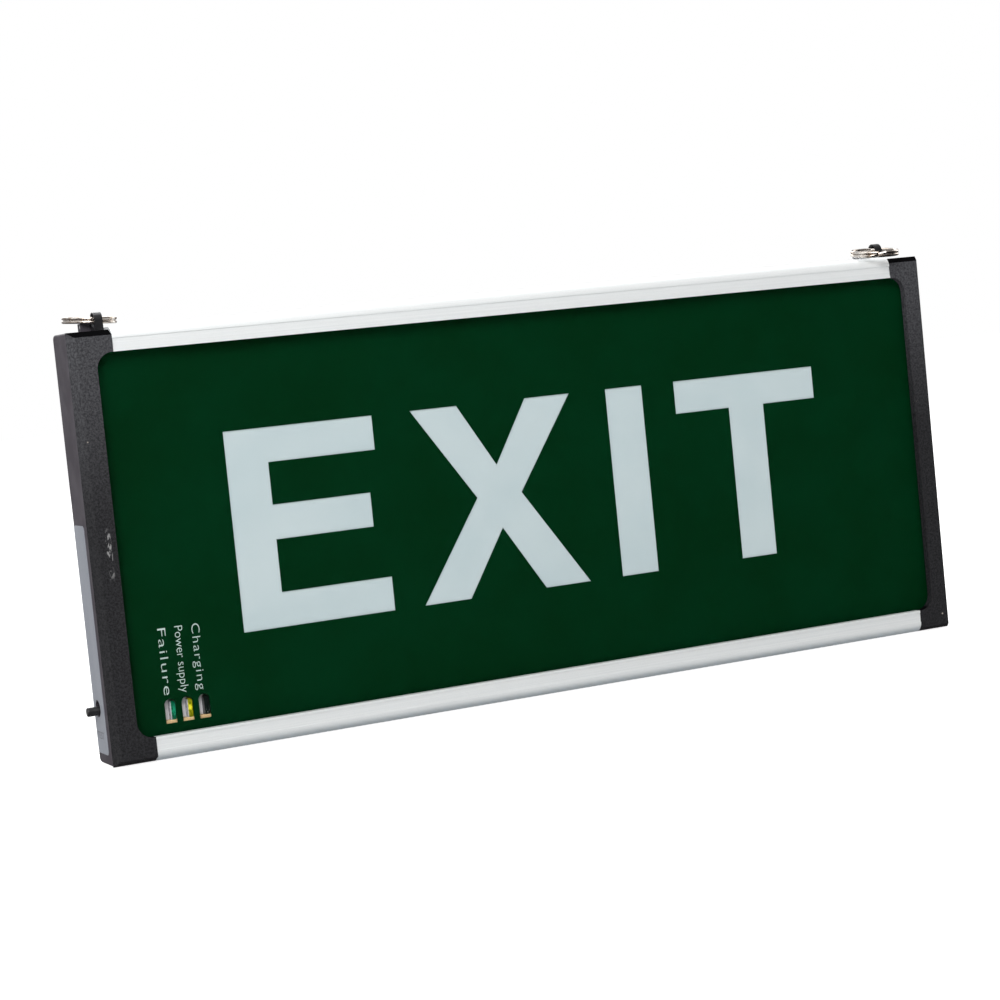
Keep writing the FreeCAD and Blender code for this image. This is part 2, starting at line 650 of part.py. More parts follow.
def indicator_board():
    """Small board across the lower left corner, under the lamps and the test switch."""
    z0 = LEDGE_TOP - LEDGE_THICK
    board = box(LEDGE_LEFT, LEDGE_RIGHT, LEDGE_FRONT, LEDGE_FRONT + LEDGE_REACH, z0, LEDGE_TOP)
    holes = [rod(PIN_RADIUS + SCREW_PLAY, V(x, y, z0 - 1), V(x, y, LEDGE_TOP + 1))
             for x, y in switch_pins()]
    return board.cut(holes)


def indicator_bracket():
    """Folded shelf on the back plate under the indicator board."""
    x0 = LEDGE_LEFT + BRACKET_INSET
    x1 = x0 + BRACKET_LENGTH
    z1 = LEDGE_TOP - LEDGE_THICK
    z0 = max(z1 - BRACKET_FOOT, RAIL_WALL + RAIL_GROOVE_DROP + FIT_GAP)
    shelf = box(x0, x1, PLATE_FRONT - BRACKET_DEPTH, PLATE_FRONT, z1 - BRACKET_THICK, z1)
    foot = box(x0, x1, PLATE_FRONT - BRACKET_THICK, PLATE_FRONT, z0, z1)
    return shelf.fuse(foot).removeSplitter()


# ---------------------------------------------------------------- test button

def button_y():
    return FRONT + BUTTON_Y


def flange_front():
    """Outer face of the button's flange, just inside the side wall."""
    return -CAVITY_X + RUNNING_GAP


def button_end():
    return flange_front() + BUTTON_FLANGE_THICK + BUTTON_TAIL


def test_button():
    tip = -SIDE - BUTTON_PROUD
    stem = rod(BUTTON_RADIUS, V(tip, button_y(), BUTTON_Z), V(button_end(), button_y(), BUTTON_Z))
    rim = [e for e in stem.Edges if len(e.Vertexes) == 1 and abs(e.CenterOfMass.x - tip) < 1e-6]
    stem = stem.makeFillet(BUTTON_RADIUS * 0.25, rim)
    x0, x1 = flange_front(), flange_front() + BUTTON_FLANGE_THICK
    z = BUTTON_Z + BUTTON_HOLE_LIFT
    flange = rod(BUTTON_FLANGE, V(x0, button_y(), z), V(x1, button_y(), z))
    return stem.fuse(flange).removeSplitter()


def switch_plunger():
    x0, x1 = button_end(), button_end() + PLUNGER_LENGTH
    return rod(PLUNGER_RADIUS, V(x0, button_y(), BUTTON_Z), V(x1, button_y(), BUTTON_Z))


def switch_front():
    return button_end() + BUTTON_TRAVEL + RUNNING_GAP


def switch_pins():
    """X, Y places of the switch's four pins."""
    x0 = switch_front()
    places = []
    for x in (x0 + 1.2, x0 + SWITCH_LENGTH - 1.2):
        for y in (button_y() - SWITCH_SIDE / 4, button_y() + SWITCH_SIDE / 4):
            places.append((x, y))
    return places


def test_switch():
    """Push switch on the indicator board, with its four pins."""
    x0 = switch_front()
    half = SWITCH_SIDE / 2
    mid = button_y()
    body = box(x0, x0 + SWITCH_LENGTH, mid - half, mid + half, LEDGE_TOP, BUTTON_Z + half)
    bore_end = button_end() + PLUNGER_LENGTH + BUTTON_TRAVEL + RUNNING_GAP
    bore = rod(PLUNGER_RADIUS + RUNNING_GAP, V(x0 - 1, mid, BUTTON_Z), V(bore_end, mid, BUTTON_Z))
    pins = [rod(PIN_RADIUS, V(x, y, LEDGE_TOP - PIN_LENGTH), V(x, y, LEDGE_TOP + 0.2))
            for x, y in switch_pins()]
    return body.cut(bore).fuse(pins).removeSplitter()


# ---------------------------------------------------------------- battery and electronics

def battery_pack():
    """Flat pack of cells in a shrunk sleeve, flat against the back plate."""
    pack = box(BATTERY_LEFT, BATTERY_LEFT + BATTERY_LENGTH, PLATE_FRONT - BATTERY_DEPTH, PLATE_FRONT,
               BATTERY_FOOT, BATTERY_FOOT + BATTERY_HEIGHT)
    return pack.makeFillet(BATTERY_DEPTH * 0.46, edges_along(pack, V(1, 0, 0), lambda c: True))


def clip_centre():
    return BATTERY_LEFT + BATTERY_LENGTH / 2


def clip_screw_places():
    reach = FIT_GAP + CLIP_THICK + CLIP_TAB / 2
    return [(clip_centre(), BATTERY_FOOT - reach), (clip_centre(), BATTERY_FOOT + BATTERY_HEIGHT + reach)]


def battery_clip():
    """Strap over the battery, with a tab at each end."""
    x0, x1 = clip_centre() - CLIP_WIDTH / 2, clip_centre() + CLIP_WIDTH / 2
    z0, z1 = BATTERY_FOOT - FIT_GAP, BATTERY_FOOT + BATTERY_HEIGHT + FIT_GAP
    y0 = PLATE_FRONT - BATTERY_DEPTH - FIT_GAP
    tab_y = PLATE_FRONT - CLIP_THICK
    reach = CLIP_THICK + CLIP_TAB
    outer = box(x0, x1, y0 - CLIP_THICK, PLATE_FRONT, z0 - CLIP_THICK, z1 + CLIP_THICK)
    inner = box(x0 - 1, x1 + 1, y0, PLATE_FRONT + 1, z0, z1)
    tabs = [box(x0, x1, tab_y, PLATE_FRONT, z0 - reach, z0 - CLIP_THICK / 2),
            box(x0, x1, tab_y, PLATE_FRONT, z1 + CLIP_THICK / 2, z1 + reach)]
    strap = outer.cut(inner).fuse(tabs).removeSplitter()
    holes = [rod(M3_RADIUS + SCREW_PLAY, V(x, PLATE_FRONT - 5, z), V(x, PLATE_FRONT + 1, z))
             for x, z in clip_screw_places()]
    return strap.cut(holes)


def clip_screws():
    """Screws that hold the strap to the back plate."""
    screw = pan_screw(M3_RADIUS, CLIP_THICK + PLATE_THICK, M3_HEAD, M3_HEAD_THICK)
    y = PLATE_FRONT - CLIP_THICK
    return group([place(screw, V(x, y, z), V(0, 1, 0)) for x, z in clip_screw_places()])


def board_screw_places():
    x0, x1 = BOARD_LEFT + BOARD_EDGE, BOARD_LEFT + BOARD_LENGTH - BOARD_EDGE
    z0, z1 = BOARD_FOOT + BOARD_EDGE, BOARD_FOOT + BOARD_HEIGHT - BOARD_EDGE
    return [(x0, z0), (x1, z0), (x0, z1), (x1, z1)]


def driver_board():
    board = box(BOARD_LEFT, BOARD_LEFT + BOARD_LENGTH, BOARD_FRONT, BOARD_BOSS,
                BOARD_FOOT, BOARD_FOOT + BOARD_HEIGHT)
    holes = [rod(M3_RADIUS + FIT_GAP, V(x, BOARD_FRONT - 1, z), V(x, BOARD_BOSS + 1, z))
             for x, z in board_screw_places()]
    return board.cut(holes)


def board_standoffs():
    posts = []
    for x, z in board_screw_places():
        post = rod(STANDOFF_RADIUS, V(x, BOARD_BOSS, z), V(x, PLATE_FRONT, z))
        hole = rod(M3_RADIUS + SCREW_PLAY, V(x, BOARD_BOSS - 1, z), V(x, PLATE_FRONT + 1, z))
        posts.append(post.cut(hole))
    return group(posts)


def board_screws():
    screw = pan_screw(M3_RADIUS, BOARD_THICK + STANDOFF_LENGTH - FIT_GAP, M3_HEAD, M3_HEAD_THICK)
    return group([place(screw, V(x, BOARD_FRONT, z), V(0, 1, 0)) for x, z in board_screw_places()])


def on_board(x0, length, z0, height, rise):
    """Block standing on the front of the driver board."""
    return box(x0, x0 + length, BOARD_FRONT - rise, BOARD_FRONT, z0, z0 + height)


def transformer():
    """Laminated core with a wider winding round its middle."""
    x0 = BOARD_LEFT + BOARD_LENGTH - BOARD_EDGE - TRANSFORMER_LENGTH - M3_HEAD - 1
    z0 = BOARD_FOOT + BOARD_HEIGHT / 2 - TRANSFORMER_HEIGHT / 2
    core = on_board(x0, TRANSFORMER_LENGTH, z0, TRANSFORMER_HEIGHT, PART_RISE - 1)
    winding = on_board(x0 + (TRANSFORMER_LENGTH - WINDING_LENGTH) / 2, WINDING_LENGTH,
                       z0 - WINDING_MARGIN, TRANSFORMER_HEIGHT + 2 * WINDING_MARGIN, PART_RISE)
    long_edges = edges_along(winding, V(0, 0, 1), lambda c: c.y < BOARD_FRONT - 1)
    return core.fuse(winding.makeFillet(2.0, long_edges)).removeSplitter()


def capacitors():
    cans = []
    x = BOARD_LEFT + BOARD_LENGTH / 2 - 4
    for index in range(CAPACITOR_COUNT):
        z = BOARD_FOOT + BOARD_HEIGHT / 2 + (index - (CAPACITOR_COUNT - 1) / 2) * CAPACITOR_PITCH
        can = rod(CAPACITOR_RADIUS, V(x, BOARD_FRONT - PART_RISE, z), V(x, BOARD_FRONT, z))
        rim = [e for e in can.Edges if len(e.Vertexes) == 1 and e.CenterOfMass.y < BOARD_FRONT - 1]
        cans.append(can.makeFillet(0.6, rim))
    return group(cans)


def relay():
    x0 = BOARD_LEFT + BOARD_EDGE + M3_HEAD + 3
    z0 = BOARD_FOOT + BOARD_HEIGHT / 2 - RELAY_HEIGHT / 2
    return on_board(x0, RELAY_LENGTH, z0, RELAY_HEIGHT, PART_RISE - 0.6)


def header_places():
    """X, Z corners of the four lead headers: battery, lamps, indicators, mains."""
    foot = BOARD_FOOT + HEADER_MARGIN
    top = BOARD_FOOT + BOARD_HEIGHT - HEADER_HEIGHT - HEADER_MARGIN
    left = BOARD_LEFT + BOARD_EDGE + HEADER_INSET
    right = BOARD_LEFT + BOARD_LENGTH - BOARD_EDGE - HEADER_INSET - HEADER_LENGTH
    return [(left, top), (right, top), (left, foot), ((left + right) / 2, top)]


def lead_headers():
    return group([on_board(x, HEADER_LENGTH, z, HEADER_HEIGHT, HEADER_RISE) for x, z in header_places()])


def terminal_block():
    """Three-way screw terminal beside the cable inlet, held to the back plate."""
    x0 = -TERMINAL_LENGTH / 2
    y0 = PLATE_FRONT - TERMINAL_DEPTH
    y1 = PLATE_FRONT - TERMINAL_ENTRY
    z1 = TERMINAL_FOOT + TERMINAL_HEIGHT
    body = box(x0, x0 + TERMINAL_LENGTH, y0, PLATE_FRONT, TERMINAL_FOOT, z1)
    cuts = []
    for x in terminal_x():
        z = TERMINAL_FOOT + TERMINAL_HEIGHT / 2
        cuts.append(rod(TERMINAL_HOLE, V(x, y0 - 1, z), V(x, y0 + TERMINAL_SINK, z)))
        cuts.append(rod(TERMINAL_HOLE, V(x, y1, z + 3), V(x, y1, z1 + 1)))
    return body.cut(cuts)


def terminal_x():
    pitch = TERMINAL_LENGTH / TERMINAL_WAYS
    return [(index + 0.5) * pitch - TERMINAL_LENGTH / 2 for index in range(TERMINAL_WAYS)]


def terminal_screws():
    z = TERMINAL_FOOT + TERMINAL_HEIGHT / 2
    seat = PLATE_FRONT - TERMINAL_DEPTH + TERMINAL_SINK
    screws = []
    for x in terminal_x():
        head = rod(TERMINAL_HOLE - FIT_GAP, V(x, seat - 2.4, z), V(x, seat, z))
        slot = box(x - TERMINAL_HOLE, x + TERMINAL_HOLE, seat - 3, seat - 1.6, z - 0.3, z + 0.3)
        screws.append(head.cut(slot))
    return group(screws)


# ---------------------------------------------------------------- leads

def lead(points):
    """Round lead along straight runs joined by tangent arcs."""
    path = [V(*p) for p in points]
    edges = []
    start = path[0]
    for before, corner, after in zip(path, path[1:], path[2:]):
        into = (corner - before).normalize()
        out = (after - corner).normalize()
        turn = into.getAngle(out)
        back = LEAD_BEND * math.tan(turn / 2)
        enter, leave = corner - into * back, corner + out * back
        bulge = (out - into).normalize()
        centre = corner + bulge * (LEAD_BEND / math.cos(turn / 2))
        edges.append(Part.makeLine(start, enter))
        edges.append(Part.Arc(enter, centre - bulge * LEAD_BEND, leave).toShape())
        start = leave
    edges.append(Part.makeLine(start, path[-1]))
    wire = Part.Wire(edges)
    ring = Part.Wire([Part.makeCircle(LEAD_RADIUS, path[0], path[1] - path[0])])
    return wire.makePipeShell([ring], True, False)


def led_lead_x():
    x, z = header_places()[1]
    return x + HEADER_LENGTH / 2


def led_lead():
    """From the driver up behind the long rib and through it to the lamp board."""
    x = led_lead_x()
    z0 = BOARD_FOOT + BOARD_HEIGHT - HEADER_MARGIN
    y0 = BOARD_FRONT - HEADER_RISE / 2
    z1 = (STACK_TOP + HEIGHT - RAIL_WALL) / 2
    return lead([(x, y0, z0), (x, y0, z1), (x, led_board().BoundBox.YMax, z1)])


def battery_lead():
    """From the battery's right end along and up to its header on the driver board."""
    x, z = header_places()[0]
    z0 = BATTERY_FOOT + BATTERY_HEIGHT / 2
    x1 = BOARD_LEFT + BOARD_EDGE / 2
    z1 = z + HEADER_HEIGHT / 2
    y1 = BOARD_FRONT - HEADER_RISE / 2
    return lead([(BATTERY_LEFT + BATTERY_LENGTH, y1, z0), (x1, y1, z0), (x1, y1, z1), (x, y1, z1)])


def indicator_lead():
    """From the driver along the bottom to the indicator board."""
    x, z = header_places()[2]
    y = BOARD_FRONT - HEADER_RISE / 2
    z0 = z + HEADER_HEIGHT / 2
    z1 = LEDGE_TOP - LEDGE_THICK / 2
    return lead([(x, y, z0), (x - 14, y, z0), (-20, y, z1 + 8), (LEDGE_RIGHT + 34, y, z1 + 4),
                 (LEDGE_RIGHT + 16, y, z1), (LEDGE_RIGHT, y, z1)])


def mains_lead():
    """From the terminal block's side across and down to its header on the driver board."""
    x, foot = header_places()[3]
    x += HEADER_LENGTH / 2
    y = BOARD_FRONT - HEADER_RISE / 2
    z0 = foot + HEADER_HEIGHT
    z1 = z0 + LEAD_BEND + 1.5
    return lead([(TERMINAL_LENGTH / 2, y, z1), (x, y, z1), (x, y, z0)])


# ---------------------------------------------------------------- eyes and rings

def right_eye():
    """Moulded eye with a flared hole along X, and a foot that is screwed to the lug."""
    x0, x1 = EYE_X - EYE_THICK / 2, EYE_X + EYE_THICK / 2
    half = EYE_WIDTH / 2
    stem = box(x0, x1, EYE_AXIS_Y - half, EYE_AXIS_Y + half, CAP_TOP, EYE_AXIS_Z)
    head = rod(half, V(x0, EYE_AXIS_Y, EYE_AXIS_Z), V(x1, EYE_AXIS_Y, EYE_AXIS_Z))
    foot = box(x0, x1, EYE_AXIS_Y, FOOT_BACK, CAP_TOP, CAP_TOP + EYE_FOOT_HEIGHT)
    body = stem.fuse([head, foot]).removeSplitter()
    hole = rod(EYE_HOLE, V(x0 - 1, EYE_AXIS_Y, EYE_AXIS_Z), V(x1 + 1, EYE_AXIS_Y, EYE_AXIS_Z))
    wide = EYE_HOLE + EYE_FLARE
    flares = [Part.makeCone(wide, EYE_HOLE, EYE_FLARE, V(x0, EYE_AXIS_Y, EYE_AXIS_Z), V(1, 0, 0)),
              Part.makeCone(wide, EYE_HOLE, EYE_FLARE, V(x1, EYE_AXIS_Y, EYE_AXIS_Z), V(-1, 0, 0))]
    screw = rod(CROSS_SCREW_RADIUS + SCREW_PLAY, V(x0 - 1, CROSS_Y, CROSS_Z), V(x1 + 1, CROSS_Y, CROSS_Z))
    return body.cut([hole, screw] + flares)


def split_ring():
    """One length of wire wound twice, lying flat with the eye's hole at the origin."""
    coils = []
    gap = 360 - COIL_SWEEP
    for z in (-COIL_OFFSET, COIL_OFFSET):
        coil = Part.makeTorus(RING_RADIUS, WIRE_RADIUS, V(0, 0, 0), V(0, 0, 1), 0, 360, COIL_SWEEP)
        turn = -90 + gap / 2
        if z > 0:
            turn += gap
        coil.Placement = FreeCAD.Placement(V(0, -RING_RADIUS, z), FreeCAD.Rotation(V(0, 0, 1), turn))
        coils.append(coil)
    angle = math.radians(-90 - gap / 2)
    ends = []
    for z, step in ((-COIL_OFFSET, 0), (COIL_OFFSET, 2 * gap)):
        a = angle + math.radians(step)
        ends.append(V(RING_RADIUS * math.cos(a), RING_RADIUS * math.sin(a) - RING_RADIUS, z))
    jog = rod(WIRE_RADIUS, ends[0], ends[1])
    joints = [Part.makeSphere(WIRE_RADIUS, end) for end in ends]
    return coils[0].fuse([coils[1], jog] + joints)


def ring_at(side, turn, tilt, roll):
    """Split ring hung in an eye: turned about Z, then tilted about X and rolled about Y."""
    ring = split_ring()
    spin = FreeCAD.Rotation(V(1, 0, 0), tilt)
    spin = spin.multiply(FreeCAD.Rotation(V(0, 1, 0), roll))
    spin = spin.multiply(FreeCAD.Rotation(V(0, 0, 1), turn))
    ring.Placement = FreeCAD.Placement(V(side * EYE_X, EYE_AXIS_Y, EYE_AXIS_Z), spin)
    return ring


def right_cross_screw():
    """Screw through the right lug and eye foot; its thread shows past the eye."""
    end = EYE_X - EYE_THICK / 2 - CROSS_SCREW_REACH
    head_end = LUG_OUTER + CROSS_HEAD_THICK
    head = rod(CROSS_HEAD_RADIUS, V(LUG_OUTER, CROSS_Y, CROSS_Z), V(head_end, CROSS_Y, CROSS_Z))
    shank = rod(CROSS_SCREW_CORE, V(end, CROSS_Y, CROSS_Z), V(head_end - 0.3, CROSS_Y, CROSS_Z))
    crests = []
    x = end
    half = CROSS_SCREW_PITCH / 2
    while x + CROSS_SCREW_PITCH < LUG_OUTER - half:
        for way, start in ((1, x), (-1, x + CROSS_SCREW_PITCH)):
            crests.append(Part.makeCone(CROSS_SCREW_CORE, CROSS_SCREW_RADIUS, half,
                                        V(start, CROSS_Y, CROSS_Z), V(way, 0, 0)))
        x += CROSS_SCREW_PITCH
    return shank.fuse([head] + crests).removeSplitter()


def left_cross_screw():
    """Short screw through the left lug and eye foot, flush at both ends."""
    start, end = -LUG_OUTER + FIT_GAP, -EYE_X + EYE_THICK / 2 - FIT_GAP
    return rod(CROSS_SCREW_RADIUS, V(start, CROSS_Y, CROSS_Z), V(end, CROSS_Y, CROSS_Z))


# ---------------------------------------------------------------- casing screws

def cap_screws():
    screw = pan_screw(CAP_SCREW_RADIUS, CAP_SCREW_LENGTH, CAP_SCREW_HEAD, CAP_SCREW_HEAD_THICK)
    places = []
    for x in (-POST_X, POST_X):
        for z in (CAP_SCREW_END, HEIGHT - CAP_SCREW_END):
            places.append(place(screw, V(x, cap_screw_seat(), z), V(0, -1, 0)))
    return group(places)


def rail_screws():
    screw = flat_screw(RAIL_SCREW_RADIUS, RAIL_SCREW_LENGTH, RAIL_SCREW_HEAD)
    places = []
    for x in (-rail_screw_x(), rail_screw_x()):
        places.append(place(screw, V(x, rail_screw_y(), HEIGHT), V(0, 0, -1)))
        places.append(place(screw, V(x, rail_screw_y(), 0), V(0, 0, 1)))
    return group(places)


def all_pieces():
    return {
        "left_end_cap": mirror_x(front_moulding()),
        "right_end_cap": front_moulding(),
        "left_side_cover": left_rear_moulding(),
        "right_side_cover": rear_moulding(),
        "side_label": side_label(),
        "top_rail": top_rail(),
        "bottom_rail": bottom_rail(),
        "front_panel": sheet(PANEL_FRONT, PANEL_THICK, False),
        "legend_film": legend_film(),
        "diffuser": sheet(DIFFUSER_FRONT, DIFFUSER_THICK, True),
        "light_guide": sheet(GUIDE_FRONT, GUIDE_THICK, True),
        "reflector_sheet": sheet(REFLECTOR_FRONT, REFLECTOR_THICK, True),
        "back_plate": back_plate(),
        "cable_grommet": cable_grommet(),
        "led_board": led_board(),
        "led_chips": led_chips(),
        "indicator_board": indicator_board(),
        "indicator_bracket": indicator_bracket(),
        "green_lamp": indicator_lamp(0),
        "yellow_lamp": indicator_lamp(1),
        "red_lamp": indicator_lamp(2),
        "lamp_holders": lamp_holders(),
        "test_button": test_button(),
        "switch_plunger": switch_plunger(),
        "test_switch": test_switch(),
        "battery_pack": battery_pack(),
        "battery_clip": battery_clip(),
        "clip_screws": clip_screws(),
        "driver_board": driver_board(),
        "board_standoffs": board_standoffs(),
        "board_screws": board_screws(),
        "transformer": transformer(),
        "capacitors": capacitors(),
        "relay": relay(),
        "lead_headers": lead_headers(),
        "terminal_block": terminal_block(),
        "terminal_screws": terminal_screws(),
        "led_lead": led_lead(),
        "battery_lead": battery_lead(),
        "indicator_lead": indicator_lead(),
        "mains_lead": mains_lead(),
        "left_eye": mirror_x(right_eye()),
        "right_eye": right_eye(),
        "left_ring": ring_at(-1, 180, LEFT_RING_TILT, LEFT_RING_ROLL),
        "right_ring": ring_at(1, RIGHT_RING_TURN, RIGHT_RING_TILT, 0),
        "left_cross_screw": left_cross_screw(),
        "right_cross_screw": right_cross_screw(),
        "cap_screws": cap_screws(),
        "rail_screws": rail_screws(),
    }


os.makedirs("parts", exist_ok=True)
for name, shape in all_pieces().items():
    shape.exportStep("parts/" + name + ".step")
    bound = shape.BoundBox
    print(f"{name:18s} solids {len(shape.Solids):2d} valid {shape.isValid()} volume {shape.Volume:10.1f}"
          f"  x {bound.XMin:.2f} {bound.XMax:.2f}  y {bound.YMin:.2f} {bound.YMax:.2f}"
          f"  z {bound.ZMin:.2f} {bound.ZMax:.2f}")
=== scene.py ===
import json

import bpy
from mathutils import Matrix, Vector


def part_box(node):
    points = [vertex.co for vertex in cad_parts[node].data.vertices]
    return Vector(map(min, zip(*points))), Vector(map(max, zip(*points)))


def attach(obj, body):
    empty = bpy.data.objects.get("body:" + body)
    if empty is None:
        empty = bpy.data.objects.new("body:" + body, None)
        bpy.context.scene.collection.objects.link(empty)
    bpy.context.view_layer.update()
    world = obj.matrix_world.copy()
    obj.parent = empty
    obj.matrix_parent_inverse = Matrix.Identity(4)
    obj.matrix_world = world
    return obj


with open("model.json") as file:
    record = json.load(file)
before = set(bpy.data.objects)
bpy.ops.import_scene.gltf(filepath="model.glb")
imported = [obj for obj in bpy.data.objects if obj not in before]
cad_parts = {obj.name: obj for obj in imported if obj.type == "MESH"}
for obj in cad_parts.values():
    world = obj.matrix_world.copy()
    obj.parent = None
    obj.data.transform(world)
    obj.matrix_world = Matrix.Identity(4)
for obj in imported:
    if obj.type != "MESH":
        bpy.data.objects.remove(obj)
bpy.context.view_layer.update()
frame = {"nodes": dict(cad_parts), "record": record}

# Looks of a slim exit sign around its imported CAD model.  Metres, in the model's own frame:
# X runs along the sign, -Y is the lit front, +Z is up, the origin is the middle of the underside.

MM = 0.001
MIDDLE = (0, 0, 0.07)        # where the lights aim
FLOOR_Z = -0.2 * MM          # just under the sign
FLOOR_REACH = 6.0
CAPTION_HEIGHT = 3.0 * MM
CAPTION_LENGTH = 23.2 * MM
CAPTION_Z = 33.6 * MM        # middle of each caption
CAPTION_SHIFT = 1.6 * MM     # left of the lamp's middle
MARK_HEIGHT = 2.5 * MM
MARK_LENGTH = 7.6 * MM
MARK_Z = 9.9 * MM
PRINT_THICK = 0.01 * MM
PRINT_THINNING = 0.05 * MM   # taken off every stroke's edge
CAPITAL_SHARE = 0.70         # of the font's size


# ---------------------------------------------------------------- camera, light and floor

def make_camera():
    """Long lens in front of the sign's left end, level with its upper part."""
    data = bpy.data.cameras.new("camera")
    data.sensor_width = 36.0
    data.lens = 86.555
    data.clip_start, data.clip_end = 0.01, 50
    right = Vector((0.89968, -0.42494, -0.09996))
    down = Vector((-0.11768, -0.01558, -0.99293))
    ahead = Vector((0.42038, 0.90509, -0.06402))
    turn = Matrix((right, -down, -ahead)).transposed().to_4x4()
    camera = bpy.data.objects.new("camera", data)
    camera.matrix_world = Matrix.Translation((-0.389878, -0.806617, 0.130475)) @ turn
    bpy.context.scene.collection.objects.link(camera)
    bpy.context.scene.camera = camera


def area_light(name, place, size, power):
    """White panel that shines on the sign and stays out of the camera's sight."""
    data = bpy.data.lights.new(name, "AREA")
    data.shape = "RECTANGLE"
    data.size, data.size_y = size
    data.energy = power
    lamp = bpy.data.objects.new(name, data)
    lamp.location = place
    lamp.rotation_euler = (Vector(MIDDLE) - Vector(place)).to_track_quat("-Z", "Y").to_euler()
    lamp.visible_camera = False
    bpy.context.scene.collection.objects.link(lamp)


def make_world():
    """White to the eye; a soft room for light and reflections, darker low down in front."""
    world = bpy.data.worlds.new("studio")
    bpy.context.scene.world = world
    world.use_nodes = True
    tree = world.node_tree
    tree.nodes.clear()
    output = tree.nodes.new("ShaderNodeOutputWorld")
    mix = tree.nodes.new("ShaderNodeMixShader")
    path = tree.nodes.new("ShaderNodeLightPath")
    seen = tree.nodes.new("ShaderNodeBackground")
    seen.inputs["Color"].default_value = (1, 1, 1, 1)
    seen.inputs["Strength"].default_value = 1.0
    room = tree.nodes.new("ShaderNodeBackground")
    coords = tree.nodes.new("ShaderNodeTexCoord")
    facing = tree.nodes.new("ShaderNodeVectorMath")
    facing.operation = "DOT_PRODUCT"
    facing.inputs[1].default_value = Vector((-0.35, 0.45, 0.82)).normalized()
    ramp = tree.nodes.new("ShaderNodeValToRGB")
    stops = ramp.color_ramp.elements
    stops[0].position, stops[0].color = 0.30, (0.012, 0.012, 0.014, 1)
    stops[1].position, stops[1].color = 0.95, (0.95, 0.97, 1.0, 1)
    warm = stops.new(0.55)
    warm.color = (0.16, 0.13, 0.11, 1)
    spread = tree.nodes.new("ShaderNodeMapRange")
    spread.inputs["From Min"].default_value = -1.0
    tree.links.new(coords.outputs["Generated"], facing.inputs[0])
    tree.links.new(facing.outputs["Value"], spread.inputs["Value"])
    tree.links.new(spread.outputs["Result"], ramp.inputs["Fac"])
    tree.links.new(ramp.outputs["Color"], room.inputs["Color"])
    room.inputs["Strength"].default_value = 0.8
    tree.links.new(path.outputs["Is Camera Ray"], mix.inputs["Fac"])
    tree.links.new(room.outputs["Background"], mix.inputs[1])
    tree.links.new(seen.outputs["Background"], mix.inputs[2])
    tree.links.new(mix.outputs["Shader"], output.inputs["Surface"])


def make_floor():
    """Plain pale floor that holds a soft shadow and takes no part in reflections."""
    mesh = bpy.data.meshes.new("floor")
    ways = ((-1, -1), (1, -1), (1, 1), (-1, 1))
    mesh.from_pydata([(x * FLOOR_REACH, y * FLOOR_REACH, FLOOR_Z) for x, y in ways], [], [(0, 1, 2, 3)])
    floor = bpy.data.objects.new("floor", mesh)
    bpy.context.scene.collection.objects.link(floor)
    material = bpy.data.materials.new("floor_white")
    material.use_nodes = True
    shader = material.node_tree.nodes["Principled BSDF"]
    shader.inputs["Base Color"].default_value = (0.5, 0.5, 0.5, 1)
    shader.inputs["Roughness"].default_value = 1.0
    shader.inputs["Specular IOR Level"].default_value = 0.0
    shader.inputs["Emission Color"].default_value = (1, 1, 1, 1)
    shader.inputs["Emission Strength"].default_value = 0.78
    mesh.materials.append(material)
    floor.visible_glossy = False


def make_studio():
    scene = bpy.context.scene
    scene.view_settings.view_transform = "Standard"
    scene.view_settings.look = "None"
    make_camera()
    make_world()
    make_floor()
    area_light("key", (-0.9, -1.5, 1.25), (1.1, 1.1), 52)
    area_light("left", (-1.9, -0.2, 0.6), (1.2, 1.2), 5)
    area_light("top", (0.0, 0.35, 1.6), (1.6, 0.9), 14)
    area_light("right", (1.9, 0.6, 0.8), (1.2, 1.2), 12)
    area_light("back", (0.3, 1.9, 0.9), (1.4, 1.2), 15)


# ---------------------------------------------------------------- material nodes

